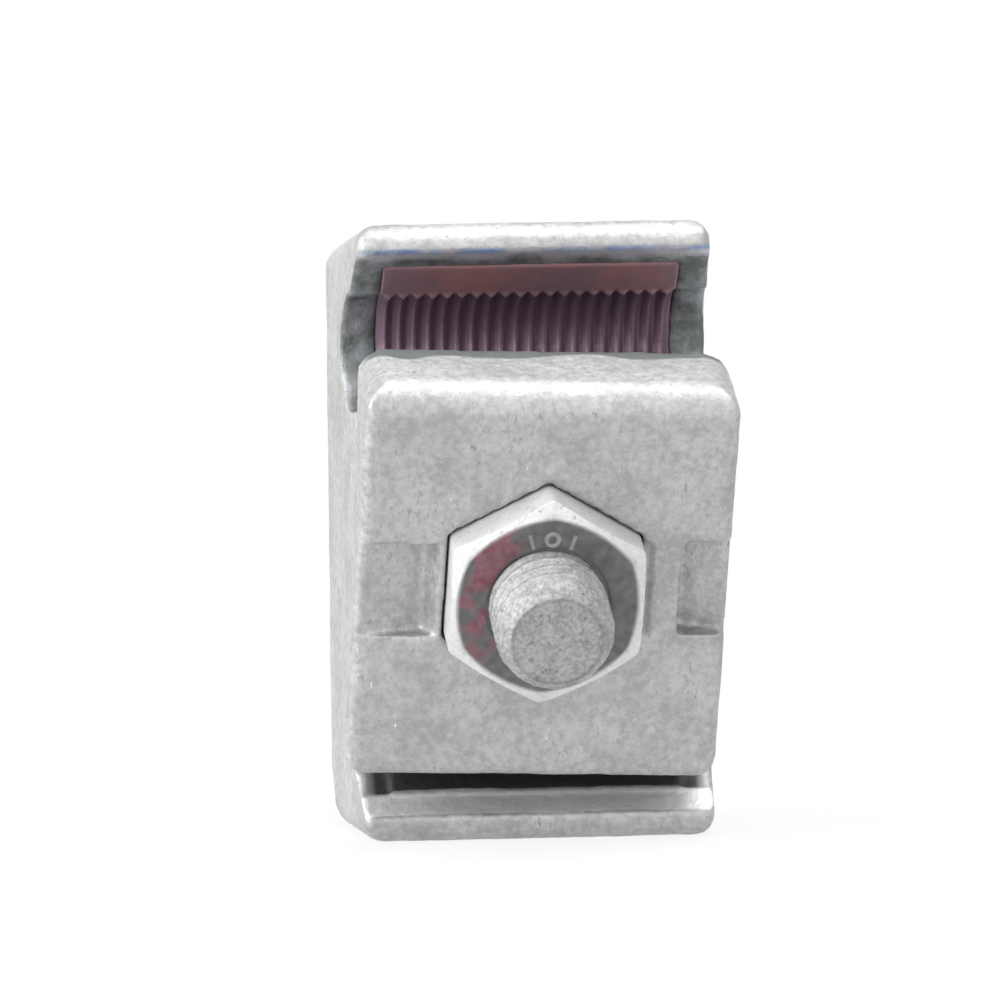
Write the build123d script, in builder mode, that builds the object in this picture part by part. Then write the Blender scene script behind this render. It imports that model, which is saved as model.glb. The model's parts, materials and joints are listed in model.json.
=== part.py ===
from build123d import *
import math
import os

# A bimetallic parallel groove clamp with one bolt, in millimetres.
# X runs along the conductors, Y toward the bolt's head and Z up.
# The origin is the centre of the rear jaw's flat underside.

# Rear jaw
REAR_HEIGHT = 42.0          # from the underside to the top of the upper lip
REAR_DEPTH = 15.0           # from the front of the lips to the back face
LIP_WIDTH = 24.0            # length along the conductors at the front of the lips
END_DRAFT = 3.5             # degrees, the end faces widen toward the back
LIP_THICKNESS = 1.8         # outer face to inner edge, at the front of a lip
LIP_RADIUS = 1.7            # rounded outer edge of a lip
TOP_FALL = 2.3              # the top face falls by this much toward the back
BACK_CHAMFER = 1.6          # bevel between the top and the back face
HEEL_RUN = 3.4              # the bottom back corner is cut away by this depth
HEEL_RISE = 4.6             # and by this height
CORNER_RADIUS = 1.5         # rounded corners seen from the front
END_RADIUS = 0.9            # rounded front and back edges of the end faces
BOSS_SETBACK = 1.6          # the boss between the grooves stands behind the lips
BOSS_RADIUS = 1.0           # rounded front edges of that boss

# Conductor grooves of the rear jaw, measured from the bolt's height
GROOVE_RADIUS = 3.9
GROOVE_CENTRE_RISE = 12.2   # bolt axis to the groove's centre
GROOVE_CENTRE_DEPTH = 4.1   # front of the lips to the groove's centre
LEAD_IN_DEPTH = 2.0         # the smooth lead-in wall ends at this depth
LEAD_IN_FALL = 1.3          # and this much nearer to the bolt

# Ribs that bite into the conductors
RIB_COUNT = 20
RIB_PITCH = 1.0
RIB_BASE = 0.86             # width of a rib where it leaves the wall
RIB_HEIGHT = 0.42
RIB_ROOT = 0.25             # how far a rib's base is carried into the wall

# Copper linings
LINER_THICKNESS = 0.8
LINER_MARGIN = 0.2          # plain copper past the last rib at each end

# Front jaw, in its own plane
PLATE_WIDTH = 25.3
PLATE_HEIGHT = 28.6
PLATE_THICKNESS = 7.1       # at the upper and lower edges
PLATE_CROWN = 0.2           # the middle of the back stands this much further forward
TOP_SHOULDER_RADIUS = 2.2
BOTTOM_SHOULDER_RADIUS = 1.3
SIDE_RADIUS = 0.9           # rounded front edges at the ends
PLATE_CORNER_RADIUS = 2.0
ARM_EDGE = 1.3              # flat edge between an arm's hollow and the plate's rim
ARM_HOLLOW_SPAN = 6.6       # the conductor's hollow across the arm
ARM_HOLLOW_DEPTH = 1.7
RECESS_HEIGHT = 6.8         # side recesses, centred on the bolt
LEFT_RECESS_INNER = 7.0     # bolt axis to the recess's inner rim
LEFT_RECESS_FLOOR = 8.0     # bolt axis to its deepest line
LEFT_RECESS_DEPTH = 1.4
LEFT_RECESS_DROP = 0.35     # this recess is cast a little below the bolt
RIGHT_RECESS_INNER = 9.3
RIGHT_RECESS_DEPTH = 1.9
RIGHT_RECESS_EDGE_DEPTH = 1.0
NUT_STEP_WIDTH = 0.85       # shallow step beside the nut pocket
NUT_STEP_DEPTH = 0.3

# M8 hardware
BOLT_DIAMETER = 8.0
BOLT_LENGTH = 40.0
BOLT_TIP_CHAMFER = 0.9
HEAD_HEIGHT = 5.3
HEX_RATIO = 1.625           # across flats over the bolt's diameter, 13 mm for M8
HEX_FACE_RATIO = 0.96       # flat circle inside the chamfered corners, over the flats
HEX_CHAMFER_ANGLE = 30.0
NUT_HEIGHT = 6.5
NUT_PROTRUSION = 3.0        # the nut stands this far out of its pocket
NUT_BORE_CHAMFER = 0.25
WASHER_DIAMETER = 16.0
WASHER_THICKNESS = 1.6
SPRING_WIDTH = 3.0          # section of the split washer
SPRING_THICKNESS = 2.0
SPRING_RISE = 0.4           # the split washer's ends stand apart by this much
SPRING_TURN = 345.0         # degrees, the rest of the ring is the split

# Clearances
HOLE_CLEARANCE = 0.75       # bolt to its slot and to the jaw's hole, on the radius
SLOT_END_CLEARANCE = 0.6    # bolt to the slot's ends at the steepest rock
WASHER_CLEARANCE = 0.2      # bolt to the washers' holes, on the radius
THREAD_CLEARANCE = 0.05     # bolt to the nut's bore, on the radius
POCKET_CLEARANCE = 0.12     # nut to its pocket, on each flat
SEAT_GAP = 0.25             # washer's upper edge to the rear jaw's back face
STACK_GAP = 0.05            # between the washers and the bolt's head

# How the front jaw stands on the rear one
JAW_ROCK = 19.0             # degrees, the bolt's tip points down by this much
JAW_TWIST = 2.0             # degrees, the front jaw turned clockwise seen from the front
ROCK_LIMIT = 20.0           # degrees each way that the slot leaves room for
JAW_STANDOFF = 8.26         # front of the lips to the plate's face, along the bolt
BOLT_SIDE_PLAY = -0.55      # the bolt leans to this side of its slot
BOLT_DROP = 0.3             # and rests this much below the slot's middle

# Places worked out from the sizes
lip_front = -REAR_DEPTH / 2
back_face = REAR_DEPTH / 2
bolt_height = REAR_HEIGHT / 2
groove_y = lip_front + GROOVE_CENTRE_DEPTH
groove_crown = GROOVE_CENTRE_RISE + GROOVE_RADIUS
groove_foot = GROOVE_CENTRE_RISE - GROOVE_RADIUS
lip_edge = bolt_height - LIP_THICKNESS
lead_in_end = lip_edge - LEAD_IN_FALL
bolt_radius = BOLT_DIAMETER / 2
across_flats = BOLT_DIAMETER * HEX_RATIO
through = REAR_HEIGHT       # longer than any cut needs
rib_length = (RIB_COUNT - 1) * RIB_PITCH + RIB_BASE
liner_length = rib_length + 2 * LINER_MARGIN
hollow_radius = (ARM_HOLLOW_SPAN**2 / 4 + ARM_HOLLOW_DEPTH**2) / (2 * ARM_HOLLOW_DEPTH)
hollow_middle = PLATE_HEIGHT / 2 - ARM_EDGE - ARM_HOLLOW_SPAN / 2
hollow_half_angle = math.degrees(math.asin(ARM_HOLLOW_SPAN / 2 / hollow_radius))

UPPER = 1
LOWER = -1

# Directions of the rocked bolt and of the twisted plate
rock = math.radians(JAW_ROCK)
twist = math.radians(JAW_TWIST)
across = Vector(1, 0, 0)
tipward = Vector(0, -math.cos(rock), -math.sin(rock))
upward = Vector(0, -math.sin(rock), math.cos(rock))
pivot = Vector(BOLT_SIDE_PLAY, lip_front, bolt_height - BOLT_DROP)
plate_across = across * math.cos(twist) - upward * math.sin(twist)
plate_up = across * math.sin(twist) + upward * math.cos(twist)


def bolt_plane(distance):
    """Plane square to the bolt, this far from the pivot toward the tip."""
    return Plane(origin=pivot + tipward * distance, x_dir=across, z_dir=tipward)


def plate_plane(depth=0.0):
    """Plane of the front jaw's face, or this far behind it."""
    origin = pivot + tipward * (JAW_STANDOFF - depth)
    return Plane(origin=origin, x_dir=plate_across, z_dir=tipward)


def groove_section(side):
    """Section of one groove's open space, Y across and Z up."""

    def at(depth, rise):
        return (lip_front + depth, bolt_height + side * rise)

    with BuildSketch() as section:
        with BuildLine():
            Polyline(
                at(GROOVE_CENTRE_DEPTH, groove_foot),
                at(-LIP_RADIUS, groove_foot),
                at(-LIP_RADIUS, lip_edge),
                at(0, lip_edge),
                at(LEAD_IN_DEPTH, lead_in_end),
                at(GROOVE_CENTRE_DEPTH, groove_crown),
            )
            ThreePointArc(
                at(GROOVE_CENTRE_DEPTH, groove_crown),
                at(GROOVE_CENTRE_DEPTH + GROOVE_RADIUS, GROOVE_CENTRE_RISE),
                at(GROOVE_CENTRE_DEPTH, groove_foot),
            )
        make_face()
    return section.sketch


def liner_section():
    """Section of the rear copper lining, which backs the upper groove's wall."""
    with BuildSketch() as section:
        add(groove_section(UPPER))
        offset(amount=LINER_THICKNESS)
        add(groove_section(UPPER), mode=Mode.SUBTRACT)
        with Locations((lip_front + LEAD_IN_DEPTH, bolt_height)):
            Rectangle(
                REAR_DEPTH, REAR_HEIGHT, align=(Align.MIN, Align.CENTER), mode=Mode.INTERSECT
            )
    return section.sketch


def rib_comb(root, tip):
    """Row of ribs seen end on: X across, from the wall's root height to the tips."""
    wall = root + math.copysign(RIB_ROOT, tip - root)
    outline = [(-rib_length / 2, root)]
    for index in range(RIB_COUNT):
        centre = (index - (RIB_COUNT - 1) / 2) * RIB_PITCH
        outline.append((centre - RIB_BASE / 2, wall))
        outline.append((centre, tip))
        outline.append((centre + RIB_BASE / 2, wall))
    outline.append((rib_length / 2, root))
    with BuildSketch() as comb:
        with BuildLine():
            Polyline(*outline, close=True)
        make_face()
    return comb.sketch


def hex_blank(height, both_ends=False):
    """Hexagon prism on its base at Z = 0, its corners turned to a cone."""
    corner = across_flats / math.sqrt(3)
    face_radius = across_flats * HEX_FACE_RATIO / 2
    drop = (corner - face_radius) * math.tan(math.radians(HEX_CHAMFER_ANGLE))
    base = [(face_radius, 0), (corner, drop)] if both_ends else [(corner, 0)]
    with BuildPart() as blank:
        with BuildSketch():
            RegularPolygon(across_flats / 2, 6, major_radius=False, rotation=30)
        extrude(amount=height)
        with BuildSketch(Plane.XZ):
            with BuildLine():
                Polyline(
                    (0, 0),
                    *base,
                    (corner, height - drop),
                    (face_radius, height),
                    (0, height),
                    close=True,
                )
            make_face()
        revolve(axis=Axis.Z, mode=Mode.INTERSECT)
    return blank.part


# Rear jaw: a tapered block, trimmed in side view, then grooved, slotted and ribbed
with BuildPart() as rear_jaw:
    spread = REAR_DEPTH * math.tan(math.radians(END_DRAFT))
    front_height = REAR_HEIGHT + TOP_FALL * LIP_RADIUS / (REAR_DEPTH - LIP_RADIUS)
    with BuildSketch():
        with BuildLine():
            Polyline(
                (-LIP_WIDTH / 2, lip_front),
                (LIP_WIDTH / 2, lip_front),
                (LIP_WIDTH / 2 + spread, back_face),
                (-LIP_WIDTH / 2 - spread, back_face),
                close=True,
            )
        make_face()
    extrude(amount=front_height)
    with BuildSketch(Plane.YZ):
        with BuildLine():
            Polyline(
                (lip_front, front_height),
                (back_face, front_height),
                (back_face, REAR_HEIGHT - TOP_FALL),
                close=True,
            )
        make_face()
    extrude(amount=through, both=True, mode=Mode.SUBTRACT)
    underside = rear_jaw.faces().sort_by(Axis.Z)[0].edges().sort_by(Axis.X)
    top = rear_jaw.faces().sort_by(Axis.Z)[-1].edges().sort_by(Axis.X)
    fillet([underside[0], underside[-1], top[0], top[-1]], CORNER_RADIUS)
    front_and_back = rear_jaw.faces().group_by(Axis.Y)
    fillet(front_and_back[0].edges() + front_and_back[-1].edges(), END_RADIUS)
    with BuildSketch(Plane.YZ) as lip_rounding:
        for height in (0, REAR_HEIGHT):
            with Locations((lip_front, height)):
                Rectangle(2 * LIP_RADIUS, 2 * LIP_RADIUS)
        for rise in (LIP_RADIUS, REAR_HEIGHT - LIP_RADIUS):
            with Locations((lip_front + LIP_RADIUS, rise)):
                Circle(LIP_RADIUS, mode=Mode.SUBTRACT)
    extrude(amount=through, both=True, mode=Mode.SUBTRACT)
    with BuildSketch(Plane.YZ):
        with BuildLine():
            Polyline(
                (back_face - HEEL_RUN, 0),
                (back_face, HEEL_RISE),
                (back_face + HEEL_RUN, HEEL_RISE),
                (back_face + HEEL_RUN, -HEEL_RISE),
                (back_face - HEEL_RUN, -HEEL_RISE),
                close=True,
            )
        make_face()
        with Locations((back_face, REAR_HEIGHT - TOP_FALL)):
            Rectangle(BACK_CHAMFER * math.sqrt(2), BACK_CHAMFER * math.sqrt(2), rotation=45)
    extrude(amount=through, both=True, mode=Mode.SUBTRACT)
    for side in (UPPER, LOWER):
        with BuildSketch(Plane.YZ):
            add(groove_section(side))
        extrude(amount=through, both=True, mode=Mode.SUBTRACT)
    with BuildSketch(Plane.YZ):
        with Locations((lip_front, bolt_height)):
            Rectangle(2 * BOSS_SETBACK, 2 * groove_foot)
    extrude(amount=through, both=True, mode=Mode.SUBTRACT)
    boss_front = lip_front + BOSS_SETBACK
    boss_edges = rear_jaw.edges().filter_by(Axis.X).filter_by_position(
        Axis.Y, boss_front - 0.01, boss_front + 0.01
    )
    fillet(boss_edges, BOSS_RADIUS)
    with BuildSketch(Plane.YZ):
        add(liner_section())
    extrude(amount=liner_length / 2, both=True, mode=Mode.SUBTRACT)
    # The slot grows toward the back so that the bolt can rock both ways
    for depth in (0, REAR_DEPTH):
        steepest = math.radians(ROCK_LIMIT)
        half_height = depth * math.tan(steepest) + bolt_radius / math.cos(steepest) + SLOT_END_CLEARANCE
        with BuildSketch(Plane.XZ.offset(-lip_front - depth)):
            with Locations((0, bolt_height)):
                SlotOverall(2 * half_height, BOLT_DIAMETER + 2 * HOLE_CLEARANCE, rotation=90)
    loft(mode=Mode.SUBTRACT)
    # Aluminium ribs round the lower groove and up its lead-in wall
    low_centre = bolt_height - GROOVE_CENTRE_RISE
    with BuildSketch(Plane.XZ.offset(-groove_y)):
        add(
            rib_comb(
                low_centre - GROOVE_RADIUS - RIB_ROOT, low_centre - GROOVE_RADIUS + RIB_HEIGHT
            )
        )
    revolve(axis=Axis((0, groove_y, low_centre), (1, 0, 0)), revolution_arc=180)
    wall_start = Vector(0, groove_y, bolt_height - groove_crown)
    wall_end = Vector(0, lip_front + LEAD_IN_DEPTH, bolt_height - lead_in_end)
    with BuildSketch(Plane(origin=wall_start, x_dir=(-1, 0, 0), z_dir=wall_end - wall_start)):
        add(rib_comb(-RIB_ROOT, RIB_HEIGHT))
    extrude(amount=(wall_end - wall_start).length)
rear_jaw.part.label = "rear_jaw"

# Copper lining of the rear jaw's upper groove
with BuildPart() as rear_copper_liner:
    with BuildSketch(Plane.YZ):
        add(liner_section())
    extrude(amount=liner_length / 2, both=True)
    high_centre = bolt_height + GROOVE_CENTRE_RISE
    with BuildSketch(Plane.XZ.offset(-groove_y)):
        add(
            rib_comb(
                high_centre + GROOVE_RADIUS + RIB_ROOT, high_centre + GROOVE_RADIUS - RIB_HEIGHT
            )
        )
    revolve(axis=Axis((0, groove_y, high_centre), (-1, 0, 0)), revolution_arc=180)
rear_copper_liner.part.label = "rear_copper_liner"


def arm_hollow(side, grown=0.0):
    """Open space of one arm's hollow: local X toward the tip, local Y up the plate."""
    outer = hollow_middle + ARM_HOLLOW_SPAN / 2 + grown
    inner = hollow_middle - ARM_HOLLOW_SPAN / 2 - grown
    with BuildSketch() as hollow:
        with BuildLine():
            ThreePointArc(
                (-PLATE_THICKNESS, side * outer),
                (-PLATE_THICKNESS + ARM_HOLLOW_DEPTH + grown, side * hollow_middle),
                (-PLATE_THICKNESS, side * inner),
            )
            Line((-PLATE_THICKNESS, side * inner), (-PLATE_THICKNESS, side * outer))
        make_face()
    return hollow.sketch


def arm_rib_plane(side):
    """Plane of the arm's first rib section, with its origin on the hollow's own axis."""
    start = math.radians(side * -hollow_half_angle)
    outward = tipward * math.cos(start) + plate_up * math.sin(start)
    behind = PLATE_THICKNESS - ARM_HOLLOW_DEPTH + hollow_radius
    origin = plate_plane(behind).origin + plate_up * (side * hollow_middle)
    return Plane(origin=origin, x_dir=plate_across, z_dir=plate_across.cross(outward))


def arm_rib_axis(side):
    """Axis that the arm's ribs are turned about."""
    return Axis(arm_rib_plane(side).origin, tipward.cross(plate_up) * side)


# Section plane of the front jaw: local X is toward the tip and local Y up the plate
plate_section = Plane(
    origin=plate_plane().origin, x_dir=tipward, z_dir=tipward.cross(plate_up)
)


def plan_plane(rise=0.0):
    """Plane seen from above, this far up the plate: local X along it, local Y toward the tip."""
    origin = plate_plane().origin + plate_up * rise
    return Plane(origin=origin, x_dir=plate_across, z_dir=plate_up * -1)


# Front jaw: a rounded plate with two hollow arms behind it
with BuildPart() as front_jaw:
    with BuildSketch(plan_plane()) as plate_plan:
        with Locations((0, -PLATE_THICKNESS / 2)):
            Rectangle(PLATE_WIDTH, PLATE_THICKNESS)
        fillet(plate_plan.vertices().group_by(Axis.Y)[-1], SIDE_RADIUS)
    extrude(amount=PLATE_HEIGHT / 2, both=True)
    with BuildSketch(plate_plane(PLATE_THICKNESS)):
        RectangleRounded(PLATE_WIDTH, PLATE_HEIGHT, PLATE_CORNER_RADIUS)
    extrude(amount=PLATE_THICKNESS, mode=Mode.INTERSECT)
    with BuildSketch(plate_section) as plate_side:
        with Locations((-PLATE_THICKNESS / 2, 0)):
            Rectangle(PLATE_THICKNESS, PLATE_HEIGHT)
        fillet(plate_side.vertices().group_by(Axis.X)[-1].sort_by(Axis.Y)[-1], TOP_SHOULDER_RADIUS)
        fillet(plate_side.vertices().group_by(Axis.X)[-1].sort_by(Axis.Y)[0], BOTTOM_SHOULDER_RADIUS)
        add(arm_hollow(UPPER), mode=Mode.SUBTRACT)
        add(arm_hollow(LOWER), mode=Mode.SUBTRACT)
        with Locations((-PLATE_THICKNESS, 0)):
            Rectangle(
                2 * PLATE_CROWN, 2 * hollow_middle - ARM_HOLLOW_SPAN, mode=Mode.SUBTRACT
            )
    extrude(amount=through, both=True, mode=Mode.INTERSECT)
    with BuildSketch(arm_rib_plane(LOWER)):
        add(rib_comb(hollow_radius + RIB_ROOT, hollow_radius - RIB_HEIGHT))
    revolve(axis=arm_rib_axis(LOWER), revolution_arc=2 * hollow_half_angle)
    with BuildSketch(plate_section):
        add(arm_hollow(UPPER, LINER_THICKNESS))
    extrude(amount=liner_length / 2, both=True, mode=Mode.SUBTRACT)
    # Recesses in both ends and the shallow step beside the nut
    with BuildSketch(plan_plane(-LEFT_RECESS_DROP)):
        with BuildLine():
            Polyline(
                (-LEFT_RECESS_INNER, 0),
                (-LEFT_RECESS_FLOOR, -LEFT_RECESS_DEPTH),
                (-PLATE_WIDTH / 2, 0),
                close=True,
            )
        make_face()
    extrude(amount=RECESS_HEIGHT / 2, both=True, mode=Mode.SUBTRACT)
    with BuildSketch(plan_plane()):
        with BuildLine():
            Polyline(
                (RIGHT_RECESS_INNER, 0),
                (RIGHT_RECESS_INNER, -RIGHT_RECESS_DEPTH),
                (PLATE_WIDTH / 2, -RIGHT_RECESS_EDGE_DEPTH),
                (PLATE_WIDTH / 2, 0),
                close=True,
            )
        make_face()
        with Locations((across_flats / 2, 0)):
            Rectangle(NUT_STEP_WIDTH, 2 * NUT_STEP_DEPTH, align=(Align.MIN, Align.CENTER))
    extrude(amount=RECESS_HEIGHT / 2, both=True, mode=Mode.SUBTRACT)
    with BuildSketch(plate_plane(NUT_HEIGHT - NUT_PROTRUSION)):
        RegularPolygon(across_flats / 2 + POCKET_CLEARANCE, 6, major_radius=False, rotation=30)
    extrude(amount=NUT_HEIGHT, mode=Mode.SUBTRACT)
    with BuildSketch(plate_plane(PLATE_THICKNESS)):
        Circle(bolt_radius + HOLE_CLEARANCE)
    extrude(amount=PLATE_THICKNESS, mode=Mode.SUBTRACT)
front_jaw.part.label = "front_jaw"

# Copper lining of the front jaw's upper arm
with BuildPart() as front_copper_liner:
    with BuildSketch(plate_section):
        add(arm_hollow(UPPER, LINER_THICKNESS))
        add(arm_hollow(UPPER), mode=Mode.SUBTRACT)
    extrude(amount=liner_length / 2, both=True)
    with BuildSketch(arm_rib_plane(UPPER)):
        add(rib_comb(hollow_radius + RIB_ROOT, hollow_radius - RIB_HEIGHT))
    revolve(axis=arm_rib_axis(UPPER), revolution_arc=2 * hollow_half_angle)
front_copper_liner.part.label = "front_copper_liner"

# Places along the bolt, measured from the pivot toward the tip
washer_front = -(
    REAR_DEPTH + SEAT_GAP + WASHER_DIAMETER / 2 * math.sin(rock)
) / math.cos(rock)
washer_back = washer_front - WASHER_THICKNESS
spring_back = washer_back - STACK_GAP - SPRING_THICKNESS - SPRING_RISE
head_seat = spring_back - STACK_GAP
washer_hole = bolt_radius + WASHER_CLEARANCE

# Nut, with both faces chamfered, seated on the floor of the jaw's pocket
nut_blank = hex_blank(NUT_HEIGHT, both_ends=True)
with BuildPart() as hex_nut:
    with Locations(plate_plane(NUT_HEIGHT - NUT_PROTRUSION)):
        add(nut_blank)
    with BuildSketch(plate_plane(NUT_HEIGHT - NUT_PROTRUSION)):
        Circle(bolt_radius + THREAD_CLEARANCE)
    extrude(amount=NUT_HEIGHT, mode=Mode.SUBTRACT)
    chamfer(hex_nut.edges().filter_by(GeomType.CIRCLE).group_by(SortBy.RADIUS)[0], NUT_BORE_CHAMFER)
hex_nut.part.label = "hex_nut"

# Bolt, its head behind the rear jaw and its chamfered tip in front
head_blank = hex_blank(HEAD_HEIGHT)
head_plane = Plane(origin=bolt_plane(head_seat).origin, x_dir=across, z_dir=tipward * -1)
with BuildPart() as hex_bolt:
    with Locations(head_plane):
        add(head_blank)
    with BuildSketch(bolt_plane(head_seat)):
        Circle(bolt_radius)
    extrude(amount=BOLT_LENGTH)
    tip_edge = hex_bolt.edges().sort_by(Axis(pivot, tipward))[-1]
    chamfer(tip_edge, BOLT_TIP_CHAMFER)
hex_bolt.part.label = "hex_bolt"

with BuildPart() as flat_washer:
    with BuildSketch(bolt_plane(washer_back)):
        Circle(WASHER_DIAMETER / 2)
        Circle(washer_hole, mode=Mode.SUBTRACT)
    extrude(amount=WASHER_THICKNESS)
flat_washer.part.label = "flat_washer"

# Split washer: a square bar coiled through almost one turn
with BuildPart() as spring_coil:
    with BuildLine() as coil:
        Helix(SPRING_RISE * 360 / SPRING_TURN, SPRING_RISE, washer_hole + SPRING_WIDTH / 2)
    with BuildSketch(Plane(origin=coil.line @ 0, x_dir=(1, 0, 0), z_dir=coil.line % 0)):
        Rectangle(SPRING_WIDTH, SPRING_THICKNESS)
    sweep(path=coil.line, is_frenet=True)
coil_part = spring_coil.part
with BuildPart() as spring_washer:
    with Locations(bolt_plane(spring_back + SPRING_THICKNESS / 2)):
        add(coil_part)
spring_washer.part.label = "spring_washer"

os.makedirs("parts", exist_ok=True)
export_step(rear_jaw.part, "parts/rear_jaw.step")
export_step(rear_copper_liner.part, "parts/rear_copper_liner.step")
export_step(front_jaw.part, "parts/front_jaw.step")
export_step(front_copper_liner.part, "parts/front_copper_liner.step")
export_step(hex_nut.part, "parts/hex_nut.step")
export_step(hex_bolt.part, "parts/hex_bolt.step")
export_step(flat_washer.part, "parts/flat_washer.step")
export_step(spring_washer.part, "parts/spring_washer.step")
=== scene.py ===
import json
import logging
import math
from dataclasses import dataclass
from enum import Enum

import bmesh
import bpy
import numpy as np
from bpy.types import Material, Mesh, Node, NodeSocket, NodeTree, Object
from mathutils import Matrix, Vector, noise


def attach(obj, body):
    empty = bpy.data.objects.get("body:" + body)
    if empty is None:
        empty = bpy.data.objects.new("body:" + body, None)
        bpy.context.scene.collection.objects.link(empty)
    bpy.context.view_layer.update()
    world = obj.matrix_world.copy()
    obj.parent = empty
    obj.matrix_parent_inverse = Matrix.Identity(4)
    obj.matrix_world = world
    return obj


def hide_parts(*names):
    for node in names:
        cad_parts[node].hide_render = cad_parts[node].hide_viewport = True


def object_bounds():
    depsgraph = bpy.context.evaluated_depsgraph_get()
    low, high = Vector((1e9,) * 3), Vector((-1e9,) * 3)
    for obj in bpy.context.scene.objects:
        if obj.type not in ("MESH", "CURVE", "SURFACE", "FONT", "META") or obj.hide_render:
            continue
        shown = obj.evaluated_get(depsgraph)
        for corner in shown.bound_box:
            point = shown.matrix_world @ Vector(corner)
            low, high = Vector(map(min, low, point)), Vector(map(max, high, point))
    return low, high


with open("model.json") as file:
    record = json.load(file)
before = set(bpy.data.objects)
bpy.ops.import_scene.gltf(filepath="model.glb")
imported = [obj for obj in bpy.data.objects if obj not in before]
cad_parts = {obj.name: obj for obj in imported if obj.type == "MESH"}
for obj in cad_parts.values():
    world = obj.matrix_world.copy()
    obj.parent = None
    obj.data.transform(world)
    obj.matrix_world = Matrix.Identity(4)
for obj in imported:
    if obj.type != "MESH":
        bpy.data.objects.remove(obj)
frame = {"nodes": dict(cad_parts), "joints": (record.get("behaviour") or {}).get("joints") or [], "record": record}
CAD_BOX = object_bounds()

LOG = logging.getLogger("parallel_groove_clamp")
MM = 0.001
IMAGE_PIXELS = 1000
FROM_MM = Matrix.Scale(MM, 4)  # from a piece's own millimetres to the frame
GROOVE_RADIUS = 3.9  # millimetres, of the rear jaw's two grooves
JAW_TWIST = 2.0  # degrees, the front jaw and its nut turned clockwise, seen from the tip

Source = Node | NodeSocket  # where a value comes from: a node stands for its first output


class Light(Enum):
    """What a lamp does for the picture."""

    KEY = "key_lamp"
    TOP = "top_lamp"
    FRONT = "front_lamp"


def linear(colour: str) -> tuple[float, float, float, float]:
    """Turn an sRGB hex colour into linear light.

    Args:
        colour: Hex value such as "#A0A0A0".

    Returns:
        Linear red, green and blue, with an alpha of 1.
    """
    red, green, painted_blue_reflection = (int(colour[i : i + 2], 16) / 255 for i in (1, 3, 5))
    bent = [c / 12.92 if c <= 0.04045 else ((c + 0.055) / 1.055) ** 2.4 for c in (red, green, painted_blue_reflection)]
    return bent[0], bent[1], bent[2], 1.0


def scale_for(size: float) -> float:
    """Give the texture scale that makes features of this size in millimetres."""
    return 1 / (size * MM)


def add_node(tree: NodeTree, kind: str, inputs: dict | None = None, **settings: object) -> Node:
    """Add a node with its settings, values and links.

    Args:
        tree: Node tree that takes the node.
        kind: Blender's name for the type of node.
        inputs: Socket name or number, with a value or the source to link from.
        **settings: Properties of the node itself.

    Returns:
        The new node.
    """
    node = tree.nodes.new(kind)
    for name, value in settings.items():
        setattr(node, name, value)
    for name, value in (inputs or {}).items():
        if isinstance(value, Node):
            value = value.outputs[0]
        if isinstance(value, NodeSocket):
            tree.links.new(value, node.inputs[name])
        else:
            node.inputs[name].default_value = value
    return node


def new_material(name: str) -> tuple[Material, NodeTree]:
    """Make an empty node material.

    Args:
        name: The material's name.

    Returns:
        The material and its node tree.
    """
    material = bpy.data.materials.new(name)
    material.use_nodes = True
    material.node_tree.nodes.clear()
    return material, material.node_tree


@dataclass(frozen=True)
class MetalFinish:
    """What the clamp's finishes share: how metallic, rough and bumpy each one is."""

    name: str
    metallic: float
    roughness: tuple[float, float]
    bump_mm: float
    bump_share: float

    def surface(self, tree: NodeTree, colour: Source, wear: Source, height: Source) -> None:
        """Join the finish's colour, wear and height into its surface.

        Args:
            tree: Node tree of the material.
            colour: Colour of the metal.
            wear: Noise that the roughness follows.
            height: Noise that the bumps follow.
        """
        low, high = self.roughness
        rough = add_node(tree, "ShaderNodeMapRange", {"Value": wear, "To Min": low, "To Max": high})
        bump = add_node(
            tree,
            "ShaderNodeBump",
            {"Strength": self.bump_share, "Distance": self.bump_mm * MM, "Height": height},
        )
        shader = add_node(
            tree,
            "ShaderNodeBsdfPrincipled",
            {"Base Color": colour, "Metallic": self.metallic, "Roughness": rough, "Normal": bump},
        )
        add_node(tree, "ShaderNodeOutputMaterial", {"Surface": shader})


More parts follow.
